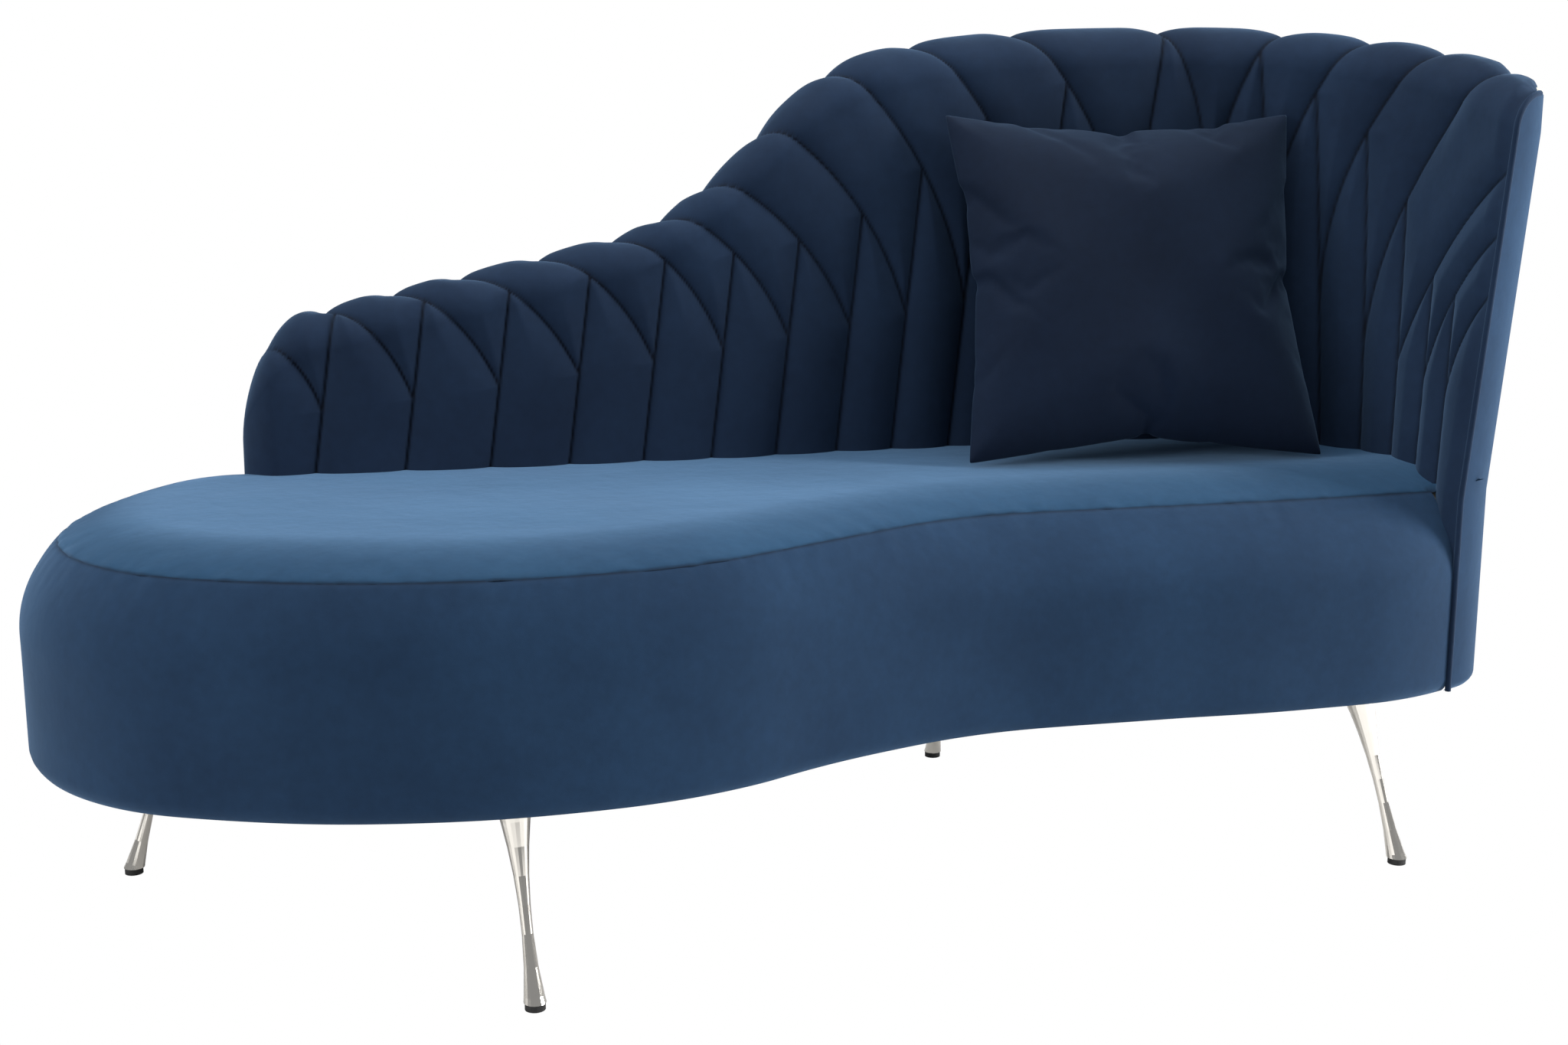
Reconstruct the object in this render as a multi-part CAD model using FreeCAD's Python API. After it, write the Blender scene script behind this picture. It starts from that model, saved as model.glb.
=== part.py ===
import FreeCAD, Part
import os
from math import atan2, cos, degrees, hypot, pi, radians, sin, sqrt, tan
from FreeCAD import Vector

# Asymmetric chaise longue: a kidney shaped seat on four splayed metal legs, and a channelled back
# that starts low at the left end, rises and curls round the right end as an arm.
# Millimetres. X runs along the chaise, the sitter faces -Y, Z is up and the floor is Z = 0.

# Heights of the body
leg_height = 188.0
base_depth = 144.0
seat_thickness = 80.0
seat_crown = 24.0

# Plan of the body, seen from above. A reach is measured from the plan's own origin
left_reach = 820.0
left_y = -49.0
bulge_x = -333.0
bulge_reach = 386.0
flank_x = -85.0
flank_reach = 332.0
flank_heading = 28.0
waist_x = 235.0
waist_reach = 241.0
lap_x = 600.0
lap_reach = 246.0
lap_heading = 3.0
arm_x = 724.0
arm_reach = 213.0
rear_left_x = -737.0
rear_left_y = 169.0
rear_left_heading = -125.0

# Plan of the back's inner face, from its free left end round to the front of the arm
back_end_x = -600.0
back_end_y = 128.0
back_end_heading = -5.0
back_mid_x = 230.0
back_mid_y = 134.0
back_turn_x = 575.0
back_turn_y = 104.0
back_turn_heading = -20.0
arm_side_x = 728.0
arm_side_y = -90.0
arm_side_heading = -90.0
arm_heading = -93.0

# The seat's top seam is drawn in from the wall by these amounts
inset_left = 42.0
inset_bulge = 32.0
inset_flank = 34.0
inset_waist = 70.0
inset_lap = 74.0
inset_rear = 30.0
sheet_step = 55.0
hem_inset = 5.0
hem_height = 15.0
shoulder = ((318.0, 0.0), (374.0, 0.32), (412.0, 1.0))
crown_rings = ((30.0, 14.0), (65.0, 24.0))

# The back: thickness, lean and the height of its top edge above the seam
back_thickness = 84.0
lean_angle = 5.0
end_corner_width = 96.0
end_corner_height = 150.0
rise_start = (436.0, 273.0, 0.24)
rise_middle = (628.0, 403.0, 1.0)
rise_finish = (770.0, 488.0, 0.22)
crest = (1150.0, 518.0, 0.0)
arm_top = (1553.0, 448.0, -0.28)
end_top = 197.0
end_slope = 0.25
end_turns = (15, 40, 65, 90)
back_stations = (
    66.0, 96.0, 170.0, 270.0, 370.0, 440.0, 500.0, 560.0, 620.0, 680.0, 730.0, 790.0, 870.0, 960.0,
    1040.0, 1110.0, 1180.0, 1220.0, 1260.0, 1300.0, 1332.0, 1364.0, 1396.0, 1428.0, 1460.0, 1520.0,
)
front_excess = 12.0
roll_steps = 8
end_overhang = 21.0
wrap_place = 66.0
front_steps = 9

# Sewn channels of the back: where each upright seam starts at the seat and where the diagonal
# seam that ends on it leaves the top edge, both along the inner face from the free end
upright_seams = (83.0, 183.0, 279.0, 370.0, 457.0, 539.0, 618.0, 694.0, 765.0, 840.0, 935.0, 1042.0, 1118.0)
diagonal_tops = (29.0, 97.0, 174.0, 252.0, 344.0, 433.0, 493.0, 548.0, 618.0, 705.0, 812.0, 937.0, 1108.0)
arm_upright_seams = (1510.0, 1462.0, 1412.0, 1364.0, 1311.0, 1255.0, 1200.0)
arm_diagonal_tops = (1498.0, 1399.0, 1321.0, 1237.0)
arm_edge_levels = (640.0, 706.0, 774.0)
seam_lean = 0.145
arm_seam_lean = -0.08
first_meeting = 93.0
meeting_step = 11.5
arm_first_meeting = 108.0
arm_meeting_step = 14.0
channel_start = 26.0
channel_turn = 112.0
channel_crown = 9.0
seam_gap = 3.0
seam_depth = 1.1
seam_root = 15.0
crown_shares = (0.18, 0.5, 0.82)
diagonal_bow = 0.1

# Layers, from outside to inside
cover_thickness = 3.0
fit_gap = 0.4
wood_inset = 24.6
back_foam_thickness = 28.0
top_foam_thickness = 34.0
board_thickness = 4.0
outer_board_thickness = 2.5
ply_thickness = 18.0
dust_cover_thickness = 1.0
webbing_thickness = 1.5
webbing_width = 50.0

# Base frame
window_places = ((-560.0, -220.0, -200.0, 60.0), (-150.0, 120.0, -190.0, 60.0), (170.0, 470.0, -130.0, 80.0))
stud_length = 60.0
stud_width = 36.0
stud_count = 18
rail_width = 30.0
rail_places = (-590.0, -185.0, 145.0, 500.0)
cross_web_places = (-640.0, -500.0, -390.0, -280.0, -90.0, 60.0, 230.0, 330.0, 430.0, 600.0)
long_web_places = (-130.0, -20.0)
back_post_width = 32.0
back_post_places = (80.0, 230.0, 390.0, 540.0, 690.0, 850.0, 1010.0, 1150.0, 1260.0, 1350.0, 1440.0)
top_rail_height = 34.0

# Legs, feet and their fixings
splay_angle = 16.5
leg_places = (
    ("left", -738.0, 68.0, 180.0),
    ("front", -343.0, -389.0, -80.0),
    ("rear", 262.0, 249.0, 90.0),
    ("right", 654.0, -248.0, -50.0),
)
leg_top_radius = 18.0
leg_waist_radius = 5.5
leg_rim_radius = 12.0
leg_waist_share = 0.4
leg_shares = (-0.06, 0.06, 0.2, 0.36, 0.5, 0.64, 0.78, 0.9, 1.07)
leg_sides = 20
glide_radius = 10.0
glide_height = 7.0
bolt_radius = 4.0
bolt_length = 64.0
bore_gap = 0.15
block_size = 90.0
block_height = 40.0

# Piping along the inner edge of the arm's front end
piping_radius = 3.5
piping_turns = (0, 30, 60, 90)

# Scatter cushion: half width at the corners and at mid side, at each distance from its middle plane
cushion_rings = (
    (216.0, 201.0, 0.0), (190.0, 192.0, 26.0), (152.0, 168.0, 48.0), (106.0, 130.0, 64.0), (54.0, 74.0, 73.0),
)
cushion_steps = 6
cushion_cover = 1.5
cushion_place = 1043.0
cushion_tilt = 22.0
cushion_forward = 99.2
cushion_rise = 200.8

# Levels that follow from the heights
seam_level = leg_height + base_depth + seat_thickness
crown_level = seam_level + seat_crown
board_level = leg_height + 2
lower_ring_top = board_level + ply_thickness
deck_level = leg_height + base_depth
upper_ring_level = deck_level - ply_thickness
foam_level = deck_level + 2 * webbing_thickness + fit_gap
lean_slope = tan(radians(lean_angle))
roll_radius = back_thickness / 2
core_start = cover_thickness + fit_gap + back_foam_thickness
post_near = core_start + board_thickness + 2 * fit_gap + 0.6
post_far = back_thickness - wood_inset
outer_board_near = post_far + 2.4


def direction(heading):
    return Vector(cos(radians(heading)), sin(radians(heading)), 0)


def left_of(heading):
    return direction(heading + 90)


# Plan curves: chains of arcs. An arc is its start point, start heading, signed curvature and length
def arc_between(start, heading, finish):
    chord = finish - start
    tangent = direction(heading)
    half_turn = atan2(tangent.x * chord.y - tangent.y * chord.x, tangent.dot(chord))
    curvature = 2 * sin(half_turn) / chord.Length
    length = 2 * half_turn / curvature if abs(half_turn) > 1e-9 else chord.Length
    return (start, heading, curvature, length)


def heading_at(arc, distance):
    return arc[1] + degrees(arc[2] * distance)


def point_at(arc, distance, offset=0.0):
    start, heading, curvature, _ = arc
    if abs(curvature) < 1e-9:
        point = start + direction(heading) * distance
    else:
        now = heading_at(arc, distance)
        point = start + (left_of(heading) - left_of(now)) * (1 / curvature)
    return point + left_of(heading_at(arc, distance)) * offset


def two_arcs(start, heading, finish, last_heading):
    """Two arcs that leave start and reach finish at the given headings and meet smoothly."""
    first = direction(heading)
    last = direction(last_heading)
    across = finish - start
    both = first + last
    bend = 2 * (1 - first.dot(last))
    if abs(bend) < 1e-9:
        reach = across.dot(across) / (4 * across.dot(last))
    else:
        along = across.dot(both)
        reach = (sqrt(along ** 2 + bend * across.dot(across)) - along) / bend
    meeting = (start + finish + (first - last) * reach) * 0.5
    opening = arc_between(start, heading, meeting)
    return [opening, arc_between(meeting, heading_at(opening, opening[3]), finish)]


def chain(nodes):
    arcs = []
    for (start, heading), (finish, last_heading) in zip(nodes, nodes[1:]):
        arcs += two_arcs(start, heading, finish, last_heading)
    return arcs


def offset_arc(arc, offset):
    """The parallel arc at a distance to the left."""
    start, heading, curvature, length = arc
    scale = 1 - curvature * offset
    return (start + left_of(heading) * offset, heading, curvature / scale, length * scale)


def reversed_arc(arc):
    finish = point_at(arc, arc[3])
    return (finish, heading_at(arc, arc[3]) + 180, -arc[2], arc[3])


def edge(arc, level):
    lift = Vector(0, 0, level)
    ends = point_at(arc, 0) + lift, point_at(arc, arc[3]) + lift
    if abs(arc[2]) < 1e-7:
        return Part.makeLine(*ends)
    return Part.Arc(ends[0], point_at(arc, arc[3] / 2) + lift, ends[1]).toShape()


def wire(arcs, level):
    return Part.Wire([edge(arc, level) for arc in arcs])


def face(arcs, level):
    return Part.Face(wire(arcs, level))


back_nodes = [
    (Vector(back_end_x, back_end_y, 0), back_end_heading),
    (Vector(back_mid_x, back_mid_y, 0), -back_end_heading),
    (Vector(back_turn_x, back_turn_y, 0), back_turn_heading),
    (Vector(arm_side_x, arm_side_y, 0), arm_side_heading),
    (Vector(arm_x, -arm_reach, 0), arm_heading),
]
back_path = chain(back_nodes)
back_length = sum(arc[3] for arc in back_path)


def on_path(distance):
    """Point and heading on the back's inner face line, and straight on past its ends."""
    for arc in back_path:
        if distance <= arc[3] or arc is back_path[-1]:
            break
        distance -= arc[3]
    return point_at(arc, distance), heading_at(arc, distance)


def body_outline(draw_in=0.0, offset=0.0):
    """The body's closed outline. draw_in of 1 gives the seat's top seam, offset moves all in."""
    insets = (0, inset_rear, inset_left, inset_bulge, inset_flank, inset_waist, inset_lap, 0)
    outer_end = back_nodes[0][0] + left_of(back_end_heading) * back_thickness
    outer_side = back_nodes[3][0] + left_of(arm_side_heading) * back_thickness
    nodes = [
        (outer_end, back_end_heading + 180),
        (Vector(rear_left_x, rear_left_y, 0), rear_left_heading + 360),
        (Vector(-left_reach, left_y, 0), 270),
        (Vector(bulge_x, -bulge_reach, 0), 360),
        (Vector(flank_x, -flank_reach, 0), 360 + flank_heading),
        (Vector(waist_x, -waist_reach, 0), 360),
        (Vector(lap_x, -lap_reach, 0), 360 + lap_heading),
        (outer_side, arm_side_heading + 540),
    ]
    moved = [(point + left_of(way) * inset * draw_in, way) for (point, way), inset in zip(nodes, insets)]
    arcs = chain(moved)
    arcs += [reversed_arc(offset_arc(arc, back_thickness)) for arc in reversed(back_path[:6])]
    return [offset_arc(arc, offset) for arc in arcs]


def prism(arcs, low, high):
    return face(arcs, low).extrude(Vector(0, 0, high - low))


def run_through(sections):
    """A solid of flat facets that runs from each closed section to the next."""
    facets = []
    for below_points, above_points in zip(sections, sections[1:]):
        ring = list(zip(below_points, above_points))
        for (a, c), (b, d) in zip(ring, ring[1:] + ring[:1]):
            facets += [(a, b, d), (a, d, c)]
    faces = [Part.Face(Part.makePolygon(list(facet) + [facet[0]])) for facet in facets]
    faces += [Part.Face(Part.makePolygon(section + section[:1])) for section in (sections[0], sections[-1])]
    skin = Part.makeCompound(faces)
    skin.sewShape()
    solid = Part.makeSolid(skin.Shells[0])
    if solid.Volume < 0:
        solid.reverse()
    return solid


def outline_points(draw_in, offset, level):
    """The outline as straight steps, moved in where it is hollow by what a step would stand out."""
    points = []
    last_bulge = 0
    for plain, arc in zip(body_outline(), body_outline(draw_in, offset)):
        count = max(round(plain[3] / sheet_step), 1)
        bulge = max(-arc[2], 0) * (arc[3] / count) ** 2 / 8
        for step in range(count):
            moved_in = max(bulge, last_bulge) if step == 0 else bulge
            points.append(point_at(arc, arc[3] * step / count, moved_in) + Vector(0, 0, level))
        last_bulge = bulge
    return points


# Seat: a lower envelope up to the top seam and a crowned one above it
def wall_draw(level):
    """How far towards the seam outline the wall has come at a level."""
    below, drawn = shoulder[0]
    for above, next_drawn in shoulder[1:]:
        if level <= above:
            return drawn + (next_drawn - drawn) * max(level - below, 0) / (above - below)
        below, drawn = above, next_drawn
    return 1.0


def wall_envelope(inside, low):
    """The wall from a level up to the top seam, drawn in by a distance."""
    sections = []
    if low < leg_height + hem_height:
        sections.append(wire(body_outline(0, inside + hem_inset), low))
        low = leg_height + hem_height
    levels = [low] + [level for level, drawn in shoulder if level > low + 1]
    for level in levels:
        sections.append(wire(body_outline(wall_draw(level), inside), min(level, seam_level - inside)))
    return Part.makeLoft(sections, True, True)


def crown_envelope(inside):
    """What rises above the top seam: two sloping bands and a flat top."""
    sections = [wire(body_outline(1, inside), seam_level - inside)]
    for inset, rise in crown_rings:
        sections.append(wire(body_outline(1, inside + inset), seam_level + rise - inside))
    return Part.makeLoft(sections, True, True)


# Back: closed sections that stand square to the path, from the free end to the front of the arm
def top_height(distance):
    """Height of the back's top edge, without its channels, at a distance along the path."""
    if distance < end_corner_width:
        across = (end_corner_width - distance) / end_corner_width
        return seam_level + end_top - end_corner_height * (1 - sqrt(1 - across ** 2))
    knots = ((end_corner_width, end_top, end_slope), rise_start, rise_middle, rise_finish, crest, arm_top)
    for (start, low, slope), (finish, high, last_slope) in zip(knots, knots[1:]):
        if distance <= finish:
            break
    span = finish - start
    t = (distance - start) / span
    value = low * (2 * t ** 3 - 3 * t ** 2 + 1) + high * (3 * t ** 2 - 2 * t ** 3)
    value += span * slope * (t ** 3 - 2 * t ** 2 + t) + span * last_slope * (t ** 3 - t ** 2)
    return seam_level + value


def lean(level):
    return lean_slope * max(level - seam_level, 0)


def back_point(distance, across, level):
    """A point of the back: across is measured outward from the inner face, square to the path."""
    base, heading = on_path(distance)
    return base + left_of(heading) * across + Vector(0, 0, level)


def back_section(distance, radius, inside, low):
    """Inner face, half round top and outer face as one closed row of points."""
    level = top_height(distance) - inside - radius
    centre = roll_radius + lean(level)
    foot = [roll_radius - radius, roll_radius + radius]
    points = [back_point(distance, foot[0] + lean(low), low)]
    if low < seam_level:
        points.append(back_point(distance, foot[0], seam_level))
    for step in range(roll_steps + 1):
        turn = pi * step / roll_steps
        points.append(back_point(distance, centre - radius * cos(turn), level + radius * sin(turn)))
    if low < seam_level:
        points.append(back_point(distance, foot[1], seam_level))
    return points + [back_point(distance, foot[1] + lean(low), low)]


def back_envelope(inside, low):
    """The whole back drawn in by a distance, with its free end rounded."""
    radius = roll_radius - inside
    stations = [(roll_radius - radius * cos(radians(turn)), radius * sin(radians(turn))) for turn in end_turns]
    stations += [(place, radius) for place in back_stations + (back_length + front_excess,)]
    return run_through([back_section(place, size, inside, low) for place, size in stations])


def band_section(distance, near, far, low, high):
    levels = [low, seam_level, high] if low < seam_level < high else [low, high]
    outside = [back_point(distance, far + lean(level), level) for level in levels]
    return outside + [back_point(distance, near + lean(level), level) for level in reversed(levels)]


def back_band(near, far, low, high, first, last):
    """A layer between two distances from the inner face. Low and high give levels along the path."""
    places = [first] + [place for place in back_stations if first + 9 < place < last - 9] + [last]
    return run_through([band_section(place, near, far, low(place), high(place)) for place in places])


def at_level(level):
    return lambda distance: level


def below_top(depth):
    return lambda distance: top_height(distance) - depth


def front_cutter(inside):
    """All that lies outside the rounded front end of the arm, leaning with it."""
    arcs = body_outline(0, inside)[12:14]
    low = Vector(0, 0, leg_height - 60)
    points = [point_at(arc, arc[3] * step / front_steps) + low for arc in arcs for step in range(front_steps)]
    points.append(point_at(arcs[1], arcs[1][3]) + low)
    beyond = points[0].y - 300
    points += [points[-1] + Vector(300, 0, 0), Vector(points[-1].x + 300, beyond, low.z), Vector(points[0].x, beyond, low.z)]
    rise = 600
    knee = Vector(0, 0, seam_level - low.z)
    head = knee + left_of(arm_heading) * lean(seam_level + rise) + Vector(0, 0, rise)
    return run_through([points, [point + knee for point in points], [point + head for point in points]])


# Channels of the back: each is a low rounded ridge between two seam lines. A seam point is a distance
# along the path and a girth, which is the level on the upright face and runs on over the round top
def end_radius(distance):
    across = max(roll_radius - distance, 0)
    return sqrt(roll_radius ** 2 - across ** 2)


def over_top(distance, turn):
    """Girth at which the round top has turned by an angle."""
    radius = end_radius(distance)
    return top_height(distance) - radius + radius * radians(turn)


def on_face(distance, girth, proud):
    radius = end_radius(distance)
    level = top_height(distance) - radius
    base, heading = on_path(distance)
    turn = max(girth - level, 0) / radius
    centre = roll_radius + lean(min(girth, level))
    out = left_of(heading) * -cos(turn) + Vector(0, 0, sin(turn))
    return base + left_of(heading) * centre + Vector(0, 0, min(girth, level)) + out * (radius + proud), out


def between(first, last, share):
    return tuple(one + (other - one) * share for one, other in zip(first, last))


def along(points, share):
    """The point at a share of a seam line's length."""
    spans = [hypot(b[0] - a[0], b[1] - a[1]) for a, b in zip(points, points[1:])]
    rest = share * sum(spans)
    for span, first, last in zip(spans, points, points[1:]):
        if rest <= span or last is points[-1]:
            return between(first, last, min(rest / span, 1))
        rest -= span


def bowed(first, last, bow):
    """A seam line that bows to its left, as short straight steps."""
    side = (first[1] - last[1], last[0] - first[0])
    points = []
    for step in range(7):
        share = step / 6
        rise = 4 * bow * share * (1 - share)
        straight = between(first, last, share)
        points.append((straight[0] + side[0] * rise, straight[1] + side[1] * rise))
    return points


def channel_section(left, right, crown):
    """A ridge's section in one plane: a crowned top between two seams and a root in the padding."""
    width = hypot(right[0] - left[0], right[1] - left[1])
    trim = seam_gap * 0.7 / width
    left, right = between(left, right, trim), between(right, left, trim)
    start = on_face(left[0], left[1], -seam_depth)[0]
    finish = on_face(right[0], right[1], -seam_depth)[0]
    middle = on_face((left[0] + right[0]) / 2, (left[1] + right[1]) / 2, -seam_depth)[0]
    across = (finish - start).normalize()
    facing = on_face((left[0] + right[0]) / 2, (left[1] + right[1]) / 2, 0)[1]
    up = (facing - across * across.dot(facing)).normalize()
    sag = (middle - start).dot(up)
    height = (crown + seam_depth) * min(width / 60, 1)
    points = [start]
    for share in crown_shares:
        rise = 4 * sag * share * (1 - share) + height * (1 - (2 * share - 1) ** 2) ** 0.7
        points.append(start + (finish - start) * share + up * rise)
    points += [finish, (start + finish) * 0.5 + up * (min(sag, 0) - seam_root)]
    return points


def ridge(left, right, count, first, last):
    shares = [first + (last - first) * step / count for step in range(count + 1)]
    return run_through([channel_section(along(left, s), along(right, s), channel_crown) for s in shares])


def seam_side(bottoms, heads, slope, meeting, step, bow):
    """Upright and diagonal seams of one side. Each upright ends on the next diagonal."""
    uprights, diagonals = [], []
    start = seam_level + channel_start
    for index, (bottom, head) in enumerate(zip(bottoms, heads)):
        girth = seam_level + meeting + step * index
        foot = (bottom + slope * (girth - start), girth)
        uprights.append([(bottom, start), foot])
        diagonals.append(bowed(foot, head[0], bow) + head[1:])
    for upright, diagonal in zip(uprights, diagonals[1:]):
        bottom, girth = upright[0]
        leads = [(point[0] - bottom - slope * (point[1] - girth)) * slope for point in diagonal]
        index = [lead > 0 for lead in leads].index(False)
        share = leads[index - 1] / (leads[index - 1] - leads[index])
        upright.append(between(diagonal[index - 1], diagonal[index], share))
    return uprights, diagonals


def above(points, girth):
    return [point for point in points if point[1] > girth + 4]


def below(points, girth):
    return [point for point in points if point[1] < girth - 4]


def side_ridges(uprights, diagonals, edge):
    """Pairs of seam lines with a ridge between them, with the shares of their length it takes up."""
    pairs = []
    before = edge
    for index, (upright, diagonal) in enumerate(zip(uprights, diagonals)):
        tip = before[-1]
        pairs.append((before, upright[:2] + below(diagonal, tip[1])[1:] + [tip], 3, 0.0, 0.9))
        if index + 1 < len(uprights):
            climb = upright[1:] + above(diagonals[index + 1], upright[2][1])
            pairs.append((diagonal, climb, 6, 0.09, 1.0))
        before = upright
    return pairs


def all_ridges():
    """Seam lines of the free side, of the arm's side and the one wide ridge between them."""
    heads = [[(place, over_top(place, 90)), (place, over_top(place, channel_turn))] for place in diagonal_tops]
    uprights, diagonals = seam_side(upright_seams, heads, seam_lean, first_meeting, meeting_step, -diagonal_bow)
    edge = [(12.0, seam_level + channel_start), (14.0, seam_level + 100), heads[0][0]]
    pairs = side_ridges(uprights, diagonals, edge)
    front = back_length - seam_gap
    heads = [[(front, level)] for level in arm_edge_levels]
    heads += [[(place, over_top(place, 90)), (place, over_top(place, channel_turn))] for place in arm_diagonal_tops]
    slope = arm_seam_lean
    arm_uprights, arm_diagonals = seam_side(arm_upright_seams, heads, slope, arm_first_meeting, arm_meeting_step, diagonal_bow)
    edge = [(front, seam_level + channel_start), heads[0][0]]
    last = len(arm_edge_levels) - 1
    rounded = list(arm_diagonals)
    arm_pairs = side_ridges(arm_uprights, rounded, edge)
    corner = (front, over_top(front, channel_turn))
    arm_pairs = [(a + [corner] if a is arm_diagonals[last] else a, b, n, s, e) for a, b, n, s, e in arm_pairs]
    pairs += [(b, a, n, s, e) for a, b, n, s, e in arm_pairs]
    left = uprights[-1][:2] + diagonals[-1][1:]
    right = arm_uprights[-1][:2] + arm_diagonals[-1][1:]
    return pairs + [(left, right, 9, 0.0, 1.0)]


# Base: boards, blocks and padding under the seat
def outline_side(count):
    """Places spread evenly along the outline of the wooden boards: point and heading."""
    arcs = body_outline(0, wood_inset)
    total = sum(arc[3] for arc in arcs)
    places = []
    for number in range(count):
        rest = total * number / count
        for arc in arcs:
            if rest <= arc[3]:
                places.append((point_at(arc, rest), heading_at(arc, rest)))
                break
            rest -= arc[3]
    return places


def leg_frame(foot_x, foot_y, way):
    """Foot on the floor, the middle of the leg's top, and the direction up the leg."""
    foot = Vector(foot_x, foot_y, 0)
    up = (direction(way) * -tan(radians(splay_angle)) + Vector(0, 0, 1)).normalize()
    return foot, foot + up * (board_level / up.z), up


leg_frames = [leg_frame(*place[1:]) for place in leg_places]


def make_board(low):
    """A plywood board that follows the outline, with three windows."""
    board = prism(body_outline(0, wood_inset), low, low + ply_thickness)
    for left, right, front, rear in window_places:
        board = board.cut(Part.makeBox(right - left, rear - front, 60, Vector(left, front, low - 20)))
    return board


def make_studs():
    """Blocks that hold the two boards apart, clear of the rails and the leg blocks."""
    studs = []
    height = upper_ring_level - lower_ring_top
    for point, heading in outline_side(stud_count):
        middle = point + left_of(heading) * (stud_width / 2 + 9)
        near_leg = min((middle - top - Vector(0, 0, -top.z)).Length for _, top, _ in leg_frames)
        near_rail = min(abs(middle.x - place) for place in rail_places)
        if near_leg < block_size + 12 or near_rail < 62:
            continue
        stud = Part.makeBox(stud_length, stud_width, height, Vector(-stud_length / 2, -stud_width / 2, 0))
        stud.rotate(Vector(0, 0, 0), Vector(0, 0, 1), heading)
        stud.translate(middle + Vector(0, 0, lower_ring_top))
        studs.append(stud)
    return Part.makeCompound(studs)


def strips_across(places, width, low, high, inset):
    """Bars or straps that run from front to back, cut to the outline."""
    inside = prism(body_outline(0, wood_inset + inset), low - 1, high + 1)
    bars = [Part.makeBox(width, 2000, high - low, Vector(x - width / 2, -1000, low)) for x in places]
    return Part.makeCompound([bar.common(inside) for bar in bars])


def strips_along(places, width, low, high, inset):
    inside = prism(body_outline(0, wood_inset + inset), low - 1, high + 1)
    bars = [Part.makeBox(3000, width, high - low, Vector(-1500, y - width / 2, low)) for y in places]
    return Part.makeCompound([bar.common(inside) for bar in bars])


def make_leg_blocks(bolts):
    """A block over each leg on the lower board, bored for the leg's bolt."""
    inside = prism(body_outline(0, wood_inset), lower_ring_top - 1, lower_ring_top + block_height + 1)
    blocks = []
    for _, top, _ in leg_frames:
        corner = Vector(top.x - block_size / 2, top.y - block_size / 2, lower_ring_top)
        block = Part.makeBox(block_size, block_size, block_height, corner)
        blocks.append(block.common(inside).cut(bolts))
    return Part.makeCompound(blocks)


def make_padding():
    """Soft padding round the boards, under the cover of the wall."""
    low, high = board_level, deck_level + 2
    inner = prism(body_outline(0, wood_inset - fit_gap), low - 5, high + 5)
    outer = prism_of_points(cover_thickness + fit_gap + hem_inset, low, leg_height + hem_height)
    upper = run_through([
        outline_points(wall_draw(level), cover_thickness + fit_gap, level)
        for level in (leg_height + hem_height, shoulder[0][0], high)
    ])
    return outer.fuse(upper).cut(inner)


def prism_of_points(offset, low, high):
    outline = outline_points(0, offset, low)
    return Part.Face(Part.makePolygon(outline + outline[:1])).extrude(Vector(0, 0, high - low))


def make_seat_foam():
    inside = cover_thickness + 2 * fit_gap
    sections = [outline_points(wall_draw(level), inside, level) for level in (foam_level, shoulder[1][0])]
    rim = outline_points(1, inside, seam_level - inside)
    halfway = [(low_point + high_point) * 0.5 for low_point, high_point in zip(sections[-1], rim)]
    sections += [halfway, rim]
    for inset, rise in crown_rings:
        sections.append(outline_points(1, inside + inset, seam_level + rise - inside))
    return run_through(sections)


# Legs
def leg_radius(share):
    """Hourglass: thickest at the top, thinnest at the waist, with a small rim at the foot."""
    if share > leg_waist_share:
        part = (share - leg_waist_share) / (1 - leg_waist_share)
        return leg_waist_radius + (leg_top_radius - leg_waist_radius) * part ** 2
    part = (leg_waist_share - share) / leg_waist_share
    return leg_waist_radius + (leg_rim_radius - leg_waist_radius) * part ** 2


def make_leg(foot, top, up, bolts):
    """Straight facets between rings of points, tilted and cut level at the glide and the board."""
    length = (top - foot).Length
    across = up.cross(Vector(0, 0, 1)).normalize()
    along_splay = up.cross(across)
    turns = [2 * pi * step / leg_sides for step in range(leg_sides)]
    rings = []
    for share in leg_shares:
        middle = foot + up * (length * share)
        rings.append([middle + (across * cos(t) + along_splay * sin(t)) * leg_radius(share) for t in turns])
    corner = Vector(foot.x - 150, foot.y - 150, glide_height)
    return run_through(rings).common(Part.makeBox(300, 300, board_level - glide_height, corner)).cut(bolts)


def make_glide(foot, up):
    middle = foot + up * (glide_height / up.z / 2)
    return Part.makeCylinder(glide_radius, glide_height, Vector(middle.x, middle.y, 0))


def make_bolt(top, up, extra):
    start = top - up * (bolt_length * 0.45 + extra)
    return Part.makeCylinder(bolt_radius + extra, bolt_length + 2 * extra, start, up)


# Piping
def corner_place(across):
    """Point of the arm's rounded front end that lies at a distance from the inner face."""
    arc = body_outline()[13]
    start = back_nodes[-1][0]
    side = left_of(arm_heading)
    low, high = 0.0, arc[3]
    for _ in range(40):
        middle = (low + high) / 2
        if (point_at(arc, middle) - start).dot(side) < across:
            low = middle
        else:
            high = middle
    return point_at(arc, low), heading_at(arc, low)


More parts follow.
